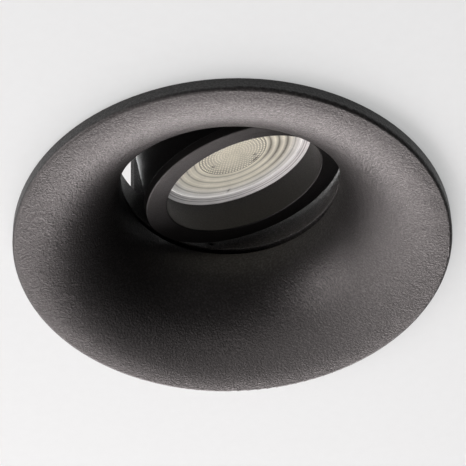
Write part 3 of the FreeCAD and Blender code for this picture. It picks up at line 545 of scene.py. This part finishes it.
def lens_painted_light_and_marks(radius, angle):
    """Brightness of the lens: 1 is plain, below it painted shade in grooves, valleys and on one flank of each
    step, and dark marks, and above it painted highlights on crests, dome tops and the white edge.
    """
    tone = 1.0
    if radius < FIELD_RADIUS:
        # painted shade in the domes' valleys and painted highlight on their tops; the whole field a little darker
        contrast = PRISM_CONTRAST + PRISM_CONTRAST_GAIN * (radius / FIELD_RADIUS) ** 3
        tone += contrast * (prism_height(radius, angle) - PRISM_MEAN) - FIELD_SHADE
    flank = max(0.0, math.cos(angle - LENS_FLANK_ANGLE)) ** 4
    for step in LENS_STEPS:
        inside = step - radius
        # painted shade along the groove at each step
        tone *= 1 - LINE_SHADE * hump(inside, LENS_LINE)
        if step < LENS_STEPS[0]:
            # painted shade on one side of the lens, at each step but the outermost
            tone *= 1 - FLANK_SHADE * flank * hump(inside, LENS_FLANK)
        # painted highlight on the crest inside each step
        tone += CREST_SHINE * hump(inside - LENS_CREST_INSET, LENS_LINE)
    for mark_x, mark_y, half_x, half_y in LENS_MARKS:
        away = math.hypot((radius * math.cos(angle) - mark_x) / half_x,
                          (radius * math.sin(angle) - mark_y) / half_y)
        tone *= 1 - MARK_SHADE * hump(away, 1.0)
    # painted highlight along the white edge
    return tone + EDGE_SHINE * min(1.0, max(0.0, (radius - LENS_EDGE) / LENS_STEP_WIDTH))


def make_lens(finishes):
    """Moulded lens: rings with a step, a groove and a crest each, round a field of small domes."""
    radius, front, back = head_extent("lamp_lens")
    profile = [(0, back), (radius, back)]
    for index in range(LENS_RING_COUNT):
        profile.append((radius * (1 - index / LENS_RING_COUNT), front))
    profile.append((0, front))
    points, faces = spun_rings(profile, LENS_SIDES)
    distances = []
    painted_light_and_marks = []
    for point in points:
        distance = math.hypot(point.x, point.y)
        angle = math.atan2(point.y, point.x)
        if point.z == front:
            point.z += lens_depth(distance, angle)
        distances.append(distance)
        # tone: the lens's painted shade and highlights, and its dark marks
        painted_light_and_marks.append(lens_painted_light_and_marks(distance, angle))
    lens = add_piece("lens_disc", [head_frame @ point for point in points], faces,
                     finishes["lamp_optic"])
    for name, values in (("radius", distances), ("tone", painted_light_and_marks)):
        lens.data.attributes.new(name, "FLOAT", "POINT").data.foreach_set("value", values)
    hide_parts("lamp_lens")
    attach(lens, "lamp")


# ---------------------------------------------------------------- clip springs
SPRING_WIRE = 0.45 * MM
SPRING_RADIUS = 2.5 * MM
SPRING_PITCH = 1.36 * MM
SPRING_TURNS = 4
SPRING_TAIL_ANGLE = 143.0
SPRING_LEG_ANGLE = 78.0
SPRING_STEPS = 28
SPRING_SIDES = 12
SPRING_END_STEPS = 6            # pieces that the straight tail and leg are cut into
SPRING_WIRE_FIT = 0.995         # keeps the round wire just inside its solid's box


def spring_way(angle):
    """Unit direction of the wire at an angle round the pin."""
    rise = SPRING_PITCH / (2 * math.pi * SPRING_RADIUS)
    return Vector((math.sin(angle), rise, -math.cos(angle))).normalized()


def spring_line(pin, tail_x, leg_z):
    """Centre line of the wire, drawn at +X: tail, turns round the pin, and the arm's leg."""
    sweep = SPRING_TAIL_ANGLE - SPRING_LEG_ANGLE + 360 * SPRING_TURNS
    count = int(sweep / 360 * SPRING_STEPS)
    start_y = -SPRING_PITCH * sweep / 360 / 2
    line = []
    for index in range(count + 1):
        turned = sweep * index / count
        angle = math.radians(SPRING_TAIL_ANGLE - turned)
        line.append(pin + Vector((SPRING_RADIUS * math.cos(angle),
                                  start_y + SPRING_PITCH * turned / 360,
                                  SPRING_RADIUS * math.sin(angle))))
    tail_way = -spring_way(math.radians(SPRING_TAIL_ANGLE))
    leg_way = spring_way(math.radians(SPRING_LEG_ANGLE))
    tail = line[0] + tail_way * ((tail_x - line[0].x) / tail_way.x)
    leg = line[-1] + leg_way * ((leg_z - line[-1].z) / leg_way.z)
    steps = range(SPRING_END_STEPS)
    tail_points = [tail.lerp(line[0], step / SPRING_END_STEPS) for step in steps]
    leg_points = [line[-1].lerp(leg, (step + 1) / SPRING_END_STEPS) for step in steps]
    return tail_points + line + leg_points


def tube(line, radius, sides):
    """Round wire along a line, with flat ends."""
    points = []
    faces = []
    across = Vector((0, 1, 0))
    for index, centre in enumerate(line):
        before = line[max(index - 1, 0)]
        after = line[min(index + 1, len(line) - 1)]
        along = (after - before).normalized()
        across = (across - along * across.dot(along)).normalized()
        up = along.cross(across)
        for side in range(sides):
            angle = 2 * math.pi * side / sides
            points.append(centre + (across * math.cos(angle) + up * math.sin(angle)) * radius)
    for index in range(len(line) - 1):
        low = index * sides
        for side in range(sides):
            after = (side + 1) % sides
            faces.append((low + side, low + after, low + sides + after, low + sides + side))
    faces.append(tuple(reversed(range(sides))))
    faces.append(tuple(range(len(points) - sides, len(points))))
    return points, faces


def make_clip_spring(side, finishes):
    """Torsion spring of one clip: its tail lies against the trim and its leg against the arm, at rest."""
    node = "clip_spring_" + side
    joint = joints["clip_" + side + "_fold"]
    pin = Vector(joint["pos_m"])
    low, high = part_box(node)
    direction = 1 if side == "right" else -1
    turn = Matrix.Rotation(0 if side == "right" else math.pi, 4, "Z")
    right_pin = turn @ pin
    near = min(direction * low.x, direction * high.x)
    line = spring_line(right_pin, near + SPRING_WIRE, low.z + SPRING_WIRE)
    points, faces = tube([turn @ point for point in line], SPRING_WIRE * SPRING_WIRE_FIT,
                         SPRING_SIDES)
    spring = add_piece("spring_coil_" + side, points, faces, finishes["spring_steel"])
    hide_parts(node)
    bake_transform(spring)


# ---------------------------------------------------------------- stage and light
BOARD_HOLE = 0.0575             # radius of the fitting's hole
BOARD_REACH = 3.0
BOARD_LIFT = 0.0004             # keeps the sheet off the rim's top face
BOARD_SIDES = 128
BOARD_GLOW = 0.4
TOPSIDE_SHADES = (0.74, 0.76)
UNDERSIDE_SHADES = (0.335, 0.345)
UNDERSIDE_TINT = (0.93, 1.0, 1.01)
ROOM_ABOVE = 0.85               # strength of the room's light above the soffit, on the +Y side
ROOM_NEAR = 0.12                # and on the -Y side
ROOM_BELOW = 0.02
ROOM_TINT = (1.0, 0.985, 0.98, 1.0)
LIGHT_DISTANCE = 1.5
WARM_LIGHT = (1.0, 0.91, 0.905)
# Name, azimuth and elevation in degrees, size in metres, power in watts
LIGHTS_BELOW = (("far_level_light", 90, -8, 0.75, 16.8),
                ("far_low_light", 90, -28, 0.75, 7.5),
                ("corner_light", 134, -28, 1.1, 13.7),
                ("left_low_light", 186, -28, 0.9, 12.5),
                ("left_level_light", 193, -8, 1.0, 13.0),
                ("corner_low_light", 130, -50, 0.9, 6.4),
                ("floor_light", 220, -84, 1.2, 7.6),
                ("near_light", 300, -8, 0.75, 1.4))
LIGHT_ABOVE = ("above_light", 90, 55, 1.4, 20)


def make_board():
    """Pale soffit: a thin sheet with the fitting's hole in it, whose underside glows faintly."""
    recipe = Recipe("soffit_paint", 0.85, Emission_Color=(0.99, 1.0, 1.0, 1.0))
    fine = recipe.noise(0.003, detail=3.0)
    underside = recipe.add("ShaderNodeNewGeometry").outputs["Backfacing"]
    paints = []
    for (dark, light), tint in ((TOPSIDE_SHADES, WHITE), (UNDERSIDE_SHADES, UNDERSIDE_TINT)):
        paints.append(recipe.colours(fine, [(NOISE_LOW, shade(dark, tint)),
                                            (NOISE_HIGH, shade(light, tint))]))
    recipe.paint(recipe.mixed(underside, *paints))
    recipe.link(recipe.span(underside, 0.0, 1.0, 0.0, BOARD_GLOW),
                recipe.shader.inputs["Emission Strength"])
    recipe.relief(fine, 0.00005, strength=0.3)
    form = bmesh.new()
    rings = []
    for radius in (BOARD_HOLE, BOARD_REACH):
        ring = []
        for index in range(BOARD_SIDES):
            angle = 2 * math.pi * index / BOARD_SIDES
            ring.append(form.verts.new((radius * math.cos(angle), radius * math.sin(angle), 0)))
        rings.append(ring)
    for index in range(BOARD_SIDES):
        after = (index + 1) % BOARD_SIDES
        form.faces.new((rings[0][index], rings[1][index], rings[1][after], rings[0][after]))
    mesh = bpy.data.meshes.new("soffit_board")
    form.to_mesh(mesh)
    form.free()
    mesh.materials.append(recipe.material)
    board = bpy.data.objects.new("soffit_board", mesh)
    board.location.z = BOARD_LIFT
    bpy.context.scene.collection.objects.link(board)


def soft_light(name, azimuth, elevation, size, power, colour):
    """Large square light that faces the fitting from the given direction."""
    around = math.radians(azimuth)
    above = math.radians(elevation)
    towards = Vector((math.cos(around) * math.cos(above), math.sin(around) * math.cos(above),
                      math.sin(above)))
    data = bpy.data.lights.new(name, "AREA")
    data.shape = "SQUARE"
    data.size = size
    data.energy = power
    data.color = colour
    light = bpy.data.objects.new(name, data)
    light.location = towards * LIGHT_DISTANCE
    light.rotation_mode = "QUATERNION"
    light.rotation_quaternion = towards.to_track_quat("Z", "Y")
    bpy.context.scene.collection.objects.link(light)


def make_surround():
    """Room round the fitting: dim below the soffit, and pale above it on the +Y side."""
    world = bpy.data.worlds.new("studio")
    world.use_nodes = True
    tree = world.node_tree
    background = tree.nodes["Background"]
    way = tree.nodes.new("ShaderNodeTexCoord").outputs["Generated"]
    split = tree.nodes.new("ShaderNodeSeparateXYZ")
    tree.links.new(way, split.inputs["Vector"])
    strength = None
    for axis, low, high, least in (("Z", -0.02, 0.06, ROOM_BELOW / ROOM_ABOVE),
                                   ("Y", -0.5, 0.5, ROOM_NEAR / ROOM_ABOVE)):
        ranged = tree.nodes.new("ShaderNodeMapRange")
        ranged.interpolation_type = "SMOOTHSTEP"
        ranged.inputs["From Min"].default_value = low
        ranged.inputs["From Max"].default_value = high
        ranged.inputs["To Min"].default_value = least
        ranged.inputs["To Max"].default_value = 1.0
        tree.links.new(split.outputs[axis], ranged.inputs["Value"])
        if strength is None:
            strength = ranged.outputs["Result"]
        else:
            product = tree.nodes.new("ShaderNodeMath")
            product.operation = "MULTIPLY"
            tree.links.new(strength, product.inputs[0])
            tree.links.new(ranged.outputs["Result"], product.inputs[1])
            strength = product.outputs["Value"]
    level = tree.nodes.new("ShaderNodeMath")
    level.operation = "MULTIPLY"
    level.inputs[1].default_value = ROOM_ABOVE
    tree.links.new(strength, level.inputs[0])
    tree.links.new(level.outputs["Value"], background.inputs["Strength"])
    background.inputs["Color"].default_value = ROOM_TINT
    bpy.context.scene.world = world


def make_light():
    make_surround()
    for light in LIGHTS_BELOW:
        soft_light(*light, WARM_LIGHT)
    soft_light(*LIGHT_ABOVE, WHITE)
    bpy.context.scene.view_settings.view_transform = "Standard"


make_camera()
finishes = make_finishes()
dress_nodes(finishes)
make_lens(finishes)
make_clip_spring("right", finishes)
make_clip_spring("left", finishes)
make_board()
make_light()
